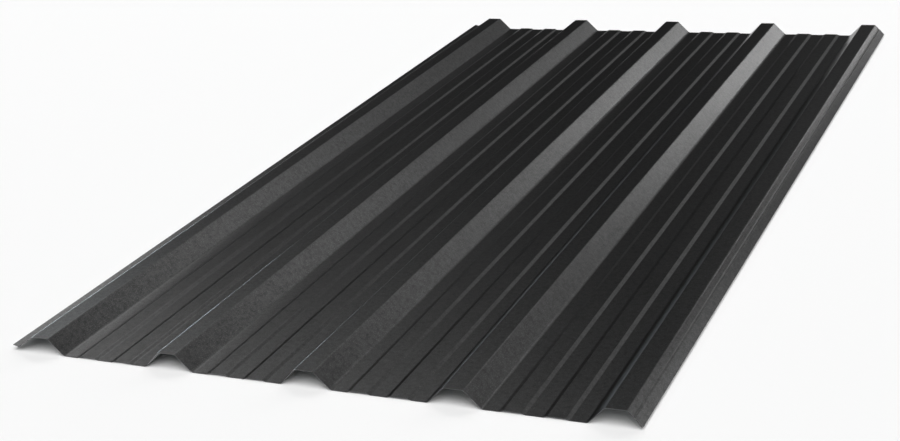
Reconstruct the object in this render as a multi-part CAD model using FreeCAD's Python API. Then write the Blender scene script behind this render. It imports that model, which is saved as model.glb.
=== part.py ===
import FreeCAD, Part
import math
import os

# Box profile roofing sheet, in millimetres: one strip of coated steel, roll-formed into trapezoidal
# ribs with stiffened pans between them. X runs across the sheet, Y along its ribs and Z up.
# The origin is at the middle of the sheet's overall width and length, level with its lowest face.
# Widths and heights of the section are those of its underside, which the thickness stands on.
# A bend radius is that of the fold's inner side.

# Whole sheet
SHEET_LENGTH = 2000.0
SHEET_THICKNESS = 0.7
RIB_COUNT = 5
RIB_PITCH = 250.0

# Ribs
RIB_DEPTH = 28.0
RIB_BASE_WIDTH = 88.0
CROWN_WIDTH = 32.0
CROWN_BEND_RADIUS = 3.0
FOOT_BEND_RADIUS = 7.0

# Two shallow flat-topped swages in each pan
SWAGE_SPACING = 68.0
SWAGE_WIDTH = 41.0
SWAGE_FLANK_WIDTH = 6.5
SWAGE_HEIGHT = 2.3
SWAGE_BEND_RADIUS = 4.0

# Overlap edge, at low X: a leg that flares out over the next sheet's rib, and a lip turned outwards
OVERLAP_LEG_WIDTH = 31.5
OVERLAP_LEG_DROP = 21.0
LIP_WIDTH = 12.0
LIP_RISE = 2.5
LIP_BEND_RADIUS = 2.0

# Underlap edge, at high X: a leg with an anti-capillary groove along it, steeper below the groove
UNDERLAP_LEG_DROP = 23.0
UNDERLAP_TURN_DOWN = 2.5  # degrees
GROOVE_START = 10.5  # down the leg from its crown fold
GROOVE_WIDTH = 5.0
GROOVE_DEPTH = 0.9
GROOVE_BEND_RADIUS = 1.0

SHEET_NODE = "sheet"


def rib_folds(centre):
    """The four folds of a whole rib as (x, z, bend radius), from its left foot to its right foot."""
    return [
        (centre - RIB_BASE_WIDTH / 2, 0.0, FOOT_BEND_RADIUS),
        (centre - CROWN_WIDTH / 2, RIB_DEPTH, CROWN_BEND_RADIUS),
        (centre + CROWN_WIDTH / 2, RIB_DEPTH, CROWN_BEND_RADIUS),
        (centre + RIB_BASE_WIDTH / 2, 0.0, FOOT_BEND_RADIUS),
    ]


def swage_folds(centre):
    """The four folds of one shallow swage in a pan."""
    foot = SWAGE_WIDTH / 2
    top = foot - SWAGE_FLANK_WIDTH
    return [
        (centre - foot, 0.0, SWAGE_BEND_RADIUS),
        (centre - top, SWAGE_HEIGHT, SWAGE_BEND_RADIUS),
        (centre + top, SWAGE_HEIGHT, SWAGE_BEND_RADIUS),
        (centre + foot, 0.0, SWAGE_BEND_RADIUS),
    ]


def overlap_folds(crown_fold):
    """The lip's free edge and the fold at its root, below the crown fold of the first rib."""
    crown_x, crown_z, _ = crown_fold
    root_x = crown_x - OVERLAP_LEG_WIDTH
    root_z = crown_z - OVERLAP_LEG_DROP
    return [
        (root_x - LIP_WIDTH, root_z + LIP_RISE, 0.0),
        (root_x, root_z, LIP_BEND_RADIUS),
    ]


def further_down(point, slope, distance, bend_radius=0.0):
    """The point reached from another one by going down to the right at a slope, in radians."""
    x = point[0] + math.cos(slope) * distance
    z = point[1] - math.sin(slope) * distance
    return (x, z, bend_radius)


def underlap_folds(crown_fold):
    """The groove's folds and the free edge, down the leg from the crown fold of the last rib."""
    web_slope = math.atan2(RIB_DEPTH, (RIB_BASE_WIDTH - CROWN_WIDTH) / 2)
    groove_slope = math.atan2(GROOVE_DEPTH, GROOVE_WIDTH / 2)
    groove_side = math.hypot(GROOVE_DEPTH, GROOVE_WIDTH / 2)
    start = further_down(crown_fold, web_slope, GROOVE_START, GROOVE_BEND_RADIUS)
    floor = further_down(start, web_slope + groove_slope, groove_side, GROOVE_BEND_RADIUS)
    end = further_down(floor, web_slope - groove_slope, groove_side, GROOVE_BEND_RADIUS)
    lower_slope = web_slope + math.radians(UNDERLAP_TURN_DOWN)
    lower_drop = UNDERLAP_LEG_DROP - (crown_fold[1] - end[1])
    free_edge = further_down(end, lower_slope, lower_drop / math.sin(lower_slope))
    return [start, floor, end, free_edge]


def section_folds():
    """Every fold of the underside from the overlap edge to the underlap edge, with X from rib 1."""
    ribs = [rib_folds(number * RIB_PITCH) for number in range(RIB_COUNT)]
    folds = overlap_folds(ribs[0][1]) + ribs[0][1:]
    for number in range(1, RIB_COUNT):
        pan_centre = (number - 0.5) * RIB_PITCH
        folds += swage_folds(pan_centre - SWAGE_SPACING / 2)
        folds += swage_folds(pan_centre + SWAGE_SPACING / 2)
        folds += ribs[number]
    folds = folds[:-1]
    return folds + underlap_folds(folds[-1])


def directions(folds):
    """Unit vectors along each straight stretch from fold to fold."""
    result = []
    for (x0, z0, _), (x1, z1, _) in zip(folds, folds[1:]):
        length = math.hypot(x1 - x0, z1 - z0)
        result.append(((x1 - x0) / length, (z1 - z0) / length))
    return result


def upper_side(folds):
    """The same folds on the sheet's top face, one thickness away, with mitred corners."""
    ways = directions(folds)
    before = [ways[0]] + ways
    after = ways + [ways[-1]]
    result = []
    for (x, z, bend_radius), (ax, az), (bx, bz) in zip(folds, before, after):
        stretch = SHEET_THICKNESS / (1 + ax * bx + az * bz)
        result.append((x - (az + bz) * stretch, z + (ax + bx) * stretch, bend_radius))
    return result


def at_near_end(x, z):
    """A section point placed on the sheet's end at low Y."""
    return FreeCAD.Vector(x, -SHEET_LENGTH / 2, z)


def bent_line(folds, on_top):
    """Edges along one face of the strip, with an arc at each fold."""
    ways = directions(folds)
    edges = []
    start = at_near_end(*folds[0][:2])
    for (x, z, bend_radius), (ax, az), (bx, bz) in zip(folds[1:-1], ways, ways[1:]):
        turns_up = ax * bz - az * bx > 0
        radius = bend_radius if turns_up == on_top else bend_radius + SHEET_THICKNESS
        half_turn = math.acos(ax * bx + az * bz) / 2
        tangent = radius * math.tan(half_turn)
        to_arc = radius * (1 / math.cos(half_turn) - 1) / (2 * math.sin(half_turn))
        arc_start = at_near_end(x - ax * tangent, z - az * tangent)
        arc_middle = at_near_end(x + (bx - ax) * to_arc, z + (bz - az) * to_arc)
        arc_end = at_near_end(x + bx * tangent, z + bz * tangent)
        edges.append(Part.LineSegment(start, arc_start).toShape())
        edges.append(Part.Arc(arc_start, arc_middle, arc_end).toShape())
        start = arc_end
    edges.append(Part.LineSegment(start, at_near_end(*folds[-1][:2])).toShape())
    return edges


def cut_edge(lower, upper):
    """The slit edge of the strip, one thickness high."""
    return Part.LineSegment(at_near_end(*lower[:2]), at_near_end(*upper[:2])).toShape()


def sheet():
    """The bent section, carried along the whole length and centred on its width."""
    underside = section_folds()
    top = upper_side(underside)
    outline = bent_line(underside, on_top=False)
    outline.append(cut_edge(underside[-1], top[-1]))
    outline += reversed(bent_line(top, on_top=True))
    outline.append(cut_edge(underside[0], top[0]))
    section = Part.Face(Part.Wire(outline))
    solid = section.extrude(FreeCAD.Vector(0, SHEET_LENGTH, 0))
    solid.translate(FreeCAD.Vector(-solid.BoundBox.Center.x, 0, 0))
    return solid


os.makedirs("parts", exist_ok=True)
sheet().exportStep(f"parts/{SHEET_NODE}.step")
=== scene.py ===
import math

import bpy
import numpy as np
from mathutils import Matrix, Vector


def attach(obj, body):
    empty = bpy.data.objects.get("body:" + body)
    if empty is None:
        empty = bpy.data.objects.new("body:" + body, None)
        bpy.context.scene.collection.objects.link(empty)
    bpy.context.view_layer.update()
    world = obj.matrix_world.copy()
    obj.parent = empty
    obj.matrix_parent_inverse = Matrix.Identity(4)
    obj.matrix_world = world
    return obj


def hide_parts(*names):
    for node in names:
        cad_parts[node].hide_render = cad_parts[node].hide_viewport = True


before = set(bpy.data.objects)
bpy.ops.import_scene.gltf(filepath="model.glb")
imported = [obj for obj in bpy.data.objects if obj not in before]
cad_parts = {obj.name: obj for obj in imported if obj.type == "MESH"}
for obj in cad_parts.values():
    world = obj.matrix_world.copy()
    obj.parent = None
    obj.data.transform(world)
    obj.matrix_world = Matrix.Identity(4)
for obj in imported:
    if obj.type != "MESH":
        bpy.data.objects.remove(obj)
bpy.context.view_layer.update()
scene = bpy.context.scene


# The camera stands off the near right corner of the sheet and looks down across it to the far left.
# The roll is the photographer's: the sheet's ends slope down to the right in the picture.
camera_data = bpy.data.cameras.new("camera")
camera_data.sensor_width = 36.0
camera_data.lens = 62.2
camera_data.clip_end = 200.0
camera = bpy.data.objects.new("camera", camera_data)
camera.location = (1.1618, -2.8086, 1.0899)
camera.rotation_euler = [math.radians(angle) for angle in (68.351, 5.416, 23.745)]
scene.collection.objects.link(camera)
scene.camera = camera


# The sheet: one strip of galvanised steel with a black grained plastic coat, run flat through a row
# of rolls that fold five ribs, two swages in each pan and the two lapping edges into it.
# It is sheared across at both ends, and nothing is welded or fixed to it.
LENGTH = 2.0
THICKNESS = 0.0007
RIB_PITCH = 0.250
RIB_COUNT = 5
RIB_DEPTH = 0.028
HALF_CROWN = 0.016
HALF_BASE = 0.044
SWAGE_CENTRE = 0.034
HALF_SWAGE = 0.0205
SWAGE_FLANK = 0.0065
SWAGE_HEIGHT = 0.0023
OVERLAP_LEG = (-0.0315, -0.021)
LIP = (-0.012, 0.0025)
UNDERLAP_DROP = 0.023
UNDERLAP_TURN = math.radians(2.5)
GROOVE_START = 0.0105
GROOVE_WIDTH = 0.005
GROOVE_DEPTH = 0.0009
CROWN_BEND = 0.003
FOOT_BEND = 0.007
SWAGE_BEND = 0.004
LIP_BEND = 0.002
GROOVE_BEND = 0.001
WAVE_HEIGHT = 0.00015


def section_folds():
    """The folds of the underside as rows of (x, z, inside bend radius), from the lip to the underlap.

    One bay runs from a rib's crown to the next: crown fold, foot fold, four folds for each of the
    two swages, foot fold, crown fold. The edges' folds are added at both ends."""
    swage = np.array([-HALF_SWAGE, SWAGE_FLANK - HALF_SWAGE, HALF_SWAGE - SWAGE_FLANK, HALF_SWAGE])
    pan_middle = RIB_PITCH / 2
    bay_x = np.concatenate([
        [HALF_CROWN, HALF_BASE],
        pan_middle - SWAGE_CENTRE + swage,
        pan_middle + SWAGE_CENTRE + swage,
        [RIB_PITCH - HALF_BASE, RIB_PITCH - HALF_CROWN],
    ])
    swage_z = [0.0, SWAGE_HEIGHT, SWAGE_HEIGHT, 0.0]
    bay_z = np.array([RIB_DEPTH, 0.0, *swage_z, *swage_z, 0.0, RIB_DEPTH])
    bay_bend = np.array([CROWN_BEND, FOOT_BEND, *[SWAGE_BEND] * 8, FOOT_BEND, CROWN_BEND])
    bays = np.arange(RIB_COUNT - 1)
    middle = np.stack([
        (bays[:, None] * RIB_PITCH + bay_x).ravel(),
        np.tile(bay_z, len(bays)),
        np.tile(bay_bend, len(bays)),
    ], axis=1)

    lip_root = (-HALF_CROWN + OVERLAP_LEG[0], RIB_DEPTH + OVERLAP_LEG[1])
    overlap = [
        (lip_root[0] + LIP[0], lip_root[1] + LIP[1], 0.0),
        (*lip_root, LIP_BEND),
        (-HALF_CROWN, RIB_DEPTH, CROWN_BEND),
    ]

    web_slope = math.atan2(RIB_DEPTH, HALF_BASE - HALF_CROWN)
    groove_slope = math.atan2(GROOVE_DEPTH, GROOVE_WIDTH / 2)
    groove_side = math.hypot(GROOVE_DEPTH, GROOVE_WIDTH / 2)
    slopes = np.array([web_slope, web_slope + groove_slope, web_slope - groove_slope])
    runs = np.array([GROOVE_START, groove_side, groove_side])
    x = (RIB_COUNT - 1) * RIB_PITCH + HALF_CROWN + np.cumsum(runs * np.cos(slopes))
    z = RIB_DEPTH - np.cumsum(runs * np.sin(slopes))
    left_to_drop = UNDERLAP_DROP - (RIB_DEPTH - z[-1])
    lower_slope = web_slope + UNDERLAP_TURN
    underlap = [
        ((RIB_COUNT - 1) * RIB_PITCH + HALF_CROWN, RIB_DEPTH, CROWN_BEND),
        *[(px, pz, GROOVE_BEND) for px, pz in zip(x, z)],
        (x[-1] + left_to_drop / math.tan(lower_slope), z[-1] - left_to_drop, 0.0),
    ]
    return np.array([*overlap, *middle, *underlap])


def bent_face(folds, lift, samples=6, margin=0.0006):
    """One face of the strip as points across the section, at a height of lift above the underside.

    At each fold the face turns from unit direction a to b by the angle turn. Its mitred corner is the
    fold plus lift / (1 + a.b) times the sum of both normals. Its arc has the bend's inside radius on
    the inner side and one thickness more on the outer, starts radius * tan(turn / 2) before the
    corner, and is radius * (normal(a) - normal(direction)) away from that start. A point on the flat
    just before and after each arc keeps the shading of the flats flat."""
    place = folds[:, :2]
    ways = np.diff(place, axis=0)
    ways /= np.linalg.norm(ways, axis=1, keepdims=True)
    normals = np.stack([-ways[:, 1], ways[:, 0]], axis=1)
    a, b = ways[:-1], ways[1:]
    turn = np.arctan2(a[:, 0] * b[:, 1] - a[:, 1] * b[:, 0], (a * b).sum(1))
    reach = lift / (1 + (a * b).sum(1, keepdims=True))
    corner = place[1:-1] + reach * (normals[:-1] + normals[1:])
    inside = folds[1:-1, 2]
    radius = np.where(turn > 0, inside + THICKNESS - lift, inside + lift)
    tangent = radius * np.tan(np.abs(turn) / 2)
    arc_start = corner - a * tangent[:, None]
    arc_end = corner + b * tangent[:, None]
    heading = np.arctan2(a[:, 1], a[:, 0])[:, None] + turn[:, None] * np.linspace(0, 1, samples)
    swept = np.stack([-np.sin(heading), np.cos(heading)], axis=2)
    signed = (radius * np.sign(turn))[:, None, None]
    arcs = arc_start[:, None] + signed * (normals[:-1][:, None] - swept)
    before = (arc_start - a * margin)[:, None]
    after = (arc_end + b * margin)[:, None]
    bends = np.concatenate([before, arcs, after], axis=1).reshape(-1, 2)
    first = place[0] + normals[0] * lift
    last = place[-1] + normals[-1] * lift
    return np.concatenate([[first], bends, [last]])


def strip_mesh(rows=49):
    """The closed skin of the strip: its section carried along the length.

    Columns run once round the section, over the top from left to right and back underneath. Rows run
    along Y. Between its flat ends the pans rise and the crowns sink by up to one wave height in long
    slow waves, the product of a sine along the length and one across the width, as rolled sheet has."""
    folds = section_folds()
    top = bent_face(folds, THICKNESS)
    under = bent_face(folds, 0.0)
    count = len(top)
    ring = np.concatenate([top, under[::-1]])
    ring[:, 0] -= (top[:, 0].max() + under[:, 0].min()) / 2
    y = np.linspace(-LENGTH / 2, LENGTH / 2, rows)
    x = np.broadcast_to(ring[:, 0], (rows, 2 * count))
    z = np.broadcast_to(ring[:, 1], (rows, 2 * count))
    along = np.broadcast_to(y[:, None], x.shape)
    share = np.clip(z / RIB_DEPTH, 0, 1)
    fade = np.sin(np.pi * (along / LENGTH + 0.5)) ** 0.5
    wave = 0.5 + 0.5 * np.sin(along * 9.3 + 2.1 * np.sin(x * 7.0)) * np.cos(x * 21.0 + along * 2.3)
    moved = z + WAVE_HEIGHT * fade * wave * (1 - 2 * share)
    points = np.stack([x, along, moved], axis=2).reshape(-1, 3)

    column = np.arange(2 * count)
    following = np.roll(column, -1)
    row = np.arange(rows - 1)[:, None] * (2 * count)
    sides = np.stack([row + column, row + following, row + 2 * count + following,
                      row + 2 * count + column], axis=2).reshape(-1, 4)
    k = np.arange(count - 1)
    near_end = np.stack([k, 2 * count - 1 - k, 2 * count - 2 - k, k + 1], axis=1)
    far_end = near_end[:, ::-1] + (rows - 1) * 2 * count
    faces = np.concatenate([sides, near_end, far_end])

    coat, backing, cut = 0, 1, 2
    slot_of_column = np.where(column < count - 1, coat, backing)
    slot_of_column[[count - 1, 2 * count - 1]] = cut
    slots = np.concatenate([
        np.tile(slot_of_column, rows - 1),
        np.full(len(near_end) + len(far_end), cut),
    ])

    mesh = bpy.data.meshes.new("sheet_strip")
    mesh.from_pydata(points.tolist(), [], faces.tolist())
    mesh.polygons.foreach_set("material_index", slots.astype(np.int32))
    mesh.polygons.foreach_set("use_smooth", np.ones(len(faces), dtype=bool))
    mesh.set_sharp_from_angle(angle=math.radians(50))
    return mesh


def link(tree, outlet, inlet):
    """Joins two sockets, or sets the inlet to a plain value."""
    if isinstance(outlet, bpy.types.NodeSocket):
        tree.links.new(outlet, inlet)
    else:
        inlet.default_value = outlet


def add(tree, kind, settings=None, **inlets):
    """A node with its settings, and its inlets linked or set by name."""
    node = tree.nodes.new(kind)
    for name, value in (settings or {}).items():
        setattr(node, name, value)
    for name, value in inlets.items():
        link(tree, value, node.inputs[name.replace("_", " ")])
    return node


def embossed_grain():
    """Group: the height of a leather-like emboss, from 0 in its creases to 1 on its pebbles.

    Pebbles are the distance to the edges of Voronoi cells whose place is shifted by up to 1.2 mm of
    noise, and a noise that starts coarser than the cells breaks them up into uneven clumps."""
    group = bpy.data.node_groups.new("embossed_grain", "ShaderNodeTree")
    for name, kind, default in (("Place", "NodeSocketVector", None),
                                ("Pebbles per metre", "NodeSocketFloat", 600.0),
                                ("Breakup", "NodeSocketFloat", 0.3)):
        socket = group.interface.new_socket(name, in_out="INPUT", socket_type=kind)
        if default is not None:
            socket.default_value = default
    group.interface.new_socket("Height", in_out="OUTPUT", socket_type="NodeSocketFloat")
    given = group.nodes.new("NodeGroupInput").outputs
    result = group.nodes.new("NodeGroupOutput").inputs
    shift = add(group, "ShaderNodeTexNoise", Vector=given["Place"], Scale=given["Pebbles per metre"])
    spread = add(group, "ShaderNodeVectorMath", {"operation": "SCALE"}, Vector=shift.outputs["Color"])
    spread.inputs["Scale"].default_value = 0.0012
    shifted = add(group, "ShaderNodeVectorMath", {"operation": "ADD"})
    link(group, given["Place"], shifted.inputs[0])
    link(group, spread.outputs["Vector"], shifted.inputs[1])
    pebble = add(group, "ShaderNodeTexVoronoi", {"feature": "DISTANCE_TO_EDGE"},
                 Vector=shifted.outputs["Vector"], Scale=given["Pebbles per metre"])
    domed = add(group, "ShaderNodeMapRange", {"interpolation_type": "SMOOTHSTEP"},
                Value=pebble.outputs["Distance"], From_Min=0.0, From_Max=0.5)
    coarser = add(group, "ShaderNodeMath", {"operation": "MULTIPLY"})
    link(group, given["Pebbles per metre"], coarser.inputs[0])
    link(group, 0.4, coarser.inputs[1])
    clumps = add(group, "ShaderNodeTexNoise", Vector=given["Place"], Scale=coarser.outputs["Value"],
                 Detail=3.0)
    uneven = add(group, "ShaderNodeMapRange", Value=clumps.outputs["Fac"], From_Min=0.3, From_Max=0.7)
    mixed = add(group, "ShaderNodeMix", {"data_type": "FLOAT"}, Factor=given["Breakup"],
                A=domed.outputs["Result"], B=uneven.outputs["Result"])
    link(group, mixed.outputs["Result"], result["Height"])
    return group


def coating(name, grain, pebbles, breakup, depth, crease_loss, base, spread, rough, rough_spread):
    """A coil coating: plain colour and a satin sheen, both with a faint broad mottle, and the embossed
    grain as bump, with so many pebbles a metre and a depth in metres. The creases between the pebbles
    shine less than their tops. Both spreads are shares or amounts either side of the middle value."""
    material = bpy.data.materials.new(name)
    material.use_nodes = True
    tree = material.node_tree
    shader = tree.nodes["Principled BSDF"]
    place = tree.nodes.new("ShaderNodeTexCoord").outputs["Object"]

    mottle = add(tree, "ShaderNodeTexNoise", Vector=place, Scale=9.0, Detail=4.0)
    tone = add(tree, "ShaderNodeMapRange", Value=mottle.outputs["Fac"],
               From_Min=0.3, From_Max=0.7, To_Min=1 - spread, To_Max=1 + spread)
    colour = add(tree, "ShaderNodeVectorMath", {"operation": "SCALE"}, Scale=tone.outputs["Result"])
    colour.inputs[0].default_value = base
    link(tree, colour.outputs["Vector"], shader.inputs["Base Color"])

    sheen = add(tree, "ShaderNodeMapRange", Value=mottle.outputs["Fac"], From_Min=0.3, From_Max=0.7,
                To_Min=rough - rough_spread, To_Max=rough + rough_spread)
    link(tree, sheen.outputs["Result"], shader.inputs["Roughness"])

    emboss = add(tree, "ShaderNodeGroup", {"node_tree": grain}, Place=place, Breakup=breakup)
    emboss.inputs["Pebbles per metre"].default_value = pebbles
    shine = add(tree, "ShaderNodeMapRange", Value=emboss.outputs["Height"],
                To_Min=0.5 - crease_loss, To_Max=0.5 + crease_loss)
    link(tree, shine.outputs["Result"], shader.inputs["Specular IOR Level"])
    bump = add(tree, "ShaderNodeBump", Height=emboss.outputs["Height"], Distance=depth)
    link(tree, bump.outputs["Normal"], shader.inputs["Normal"])
    return material


def sheared_steel():
    """The cut edge: bare zinc and steel, dull and drawn across by the shear's blade."""
    material = bpy.data.materials.new("sheared_edge")
    material.use_nodes = True
    tree = material.node_tree
    shader = tree.nodes["Principled BSDF"]
    shader.inputs["Metallic"].default_value = 1.0
    place = tree.nodes.new("ShaderNodeTexCoord").outputs["Object"]
    drawn = add(tree, "ShaderNodeMapping", Vector=place)
    drawn.inputs["Scale"].default_value = (900.0, 900.0, 60.0)
    blade_marks = add(tree, "ShaderNodeTexNoise", Vector=drawn.outputs["Vector"], Scale=1.0, Detail=2.0)
    tone = add(tree, "ShaderNodeMix", {"data_type": "RGBA"}, Factor=blade_marks.outputs["Fac"])
    tone.inputs["A"].default_value = (0.10, 0.10, 0.105, 1.0)
    tone.inputs["B"].default_value = (0.22, 0.22, 0.23, 1.0)
    link(tree, tone.outputs["Result"], shader.inputs["Base Color"])
    dull = add(tree, "ShaderNodeMapRange", Value=blade_marks.outputs["Fac"], To_Min=0.45, To_Max=0.65)
    link(tree, dull.outputs["Result"], shader.inputs["Roughness"])
    return material


grain = embossed_grain()
roofing_sheet = bpy.data.objects.new("roofing_sheet", strip_mesh())
scene.collection.objects.link(roofing_sheet)
black_top_coat = coating(
    "black_top_coat", grain, pebbles=340.0, breakup=0.35, depth=0.000025, crease_loss=0.28,
    base=(0.0025, 0.0026, 0.0027), spread=0.10, rough=0.277, rough_spread=0.002)
grey_backing_coat = coating(
    "grey_backing_coat", grain, pebbles=1500.0, breakup=0.8, depth=0.00001, crease_loss=0.1,
    base=(0.36, 0.37, 0.37), spread=0.04, rough=0.45, rough_spread=0.04)
for material in (black_top_coat, grey_backing_coat, sheared_steel()):
    roofing_sheet.data.materials.append(material)
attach(roofing_sheet, "root")
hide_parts("sheet")


# The floor: a smooth white studio floor that reaches past the picture on every side.
floor_mesh = bpy.data.meshes.new("floor")
reach = 40.0
floor_mesh.from_pydata([(-reach, -reach, 0), (reach, -reach, 0), (reach, reach, 0), (-reach, reach, 0)],
                       [], [(0, 1, 2, 3)])
floor = bpy.data.objects.new("floor", floor_mesh)
floor.location.z = -0.0005
scene.collection.objects.link(floor)
floor_paint = bpy.data.materials.new("white_floor")
floor_paint.use_nodes = True
floor_shader = floor_paint.node_tree.nodes["Principled BSDF"]
floor_shader.inputs["Base Color"].default_value = (0.9, 0.9, 0.9, 1.0)
floor_shader.inputs["Roughness"].default_value = 1.0
floor_shader.inputs["Specular IOR Level"].default_value = 0.0
floor_mesh.materials.append(floor_paint)


# The light: a broad soft key from above, and distant soft boxes round the far side of the sheet, which
# the satin coat reflects towards the camera: high ones in the pans and crowns, low ones on the right
# in the webs and the swages' flanks, and a small bluish one low on the left in the crowns' left folds.
def soft_box(name, azimuth, elevation, across, upright, lean, radiance, tint=(1.0, 1.0, 1.0)):
    """A rectangular lamp seen from the sheet at an azimuth from +Y towards +X and an elevation, with
    its angular width and height in degrees, turned by lean about the line to the sheet."""
    distance = 40.0
    az, el = math.radians(azimuth), math.radians(elevation)
    towards = Vector((math.sin(az) * math.cos(el), math.cos(az) * math.cos(el), math.sin(el)))
    data = bpy.data.lights.new(name, "AREA")
    data.shape = "RECTANGLE"
    data.color = tint
    data.size = 2 * distance * math.tan(math.radians(across / 2))
    data.size_y = 2 * distance * math.tan(math.radians(upright / 2))
    data.energy = radiance * math.pi * data.size * data.size_y
    lamp = bpy.data.objects.new(name, data)
    lamp.location = towards * distance
    facing = towards.to_track_quat("Z", "Y").to_matrix().to_4x4()
    lamp.rotation_euler = facing.to_euler()
    lamp.rotation_euler.rotate_axis("Z", math.radians(lean))
    scene.collection.objects.link(lamp)


key_data = bpy.data.lights.new("key", "SUN")
key_data.energy = 3.2
key_data.angle = math.radians(60)
key = bpy.data.objects.new("key", key_data)
key.rotation_euler = Vector((0.35, -0.45, 1.0)).to_track_quat("Z", "Y").to_euler()
scene.collection.objects.link(key)

soft_box("over_light", 2.0, 50.0, 52.0, 29.5, 10.5, 0.45)
soft_box("high_left_light", -20.0, 46.5, 30.0, 10.5, -38.0, 1.4)
soft_box("left_light", -37.0, 35.0, 26.5, 7.2, -37.5, 3.7)
soft_box("flank_light", 3.0, 31.5, 26.5, 20.0, -45.0, 0.65)
soft_box("web_light", 16.9, 14.4, 2.9, 14.5, 20.0, 8.0)
soft_box("near_web_light", 23.5, 35.5, 4.2, 22.0, -18.0, 5.4)
soft_box("far_web_light", 35.0, 16.0, 8.0, 15.5, 14.0, 3.1)
soft_box("glint_light", -46.0, 2.5, 8.0, 4.0, 0.0, 30.0, (0.82, 0.93, 1.0))

# The world: a dim studio all round, paler close to the floor's horizon.
world = bpy.data.worlds.new("world")
world.use_nodes = True
sky = world.node_tree
direction = sky.nodes.new("ShaderNodeTexCoord").outputs["Generated"]
upwards = add(sky, "ShaderNodeSeparateXYZ", Vector=direction)
paler = add(sky, "ShaderNodeMapRange", {"interpolation_type": "SMOOTHSTEP"}, Value=upwards.outputs["Z"],
            From_Min=0.02, From_Max=0.07, To_Min=0.6, To_Max=0.006)
link(sky, paler.outputs["Result"], sky.nodes["Background"].inputs["Color"])
scene.world = world

scene.view_settings.view_transform = "Standard"
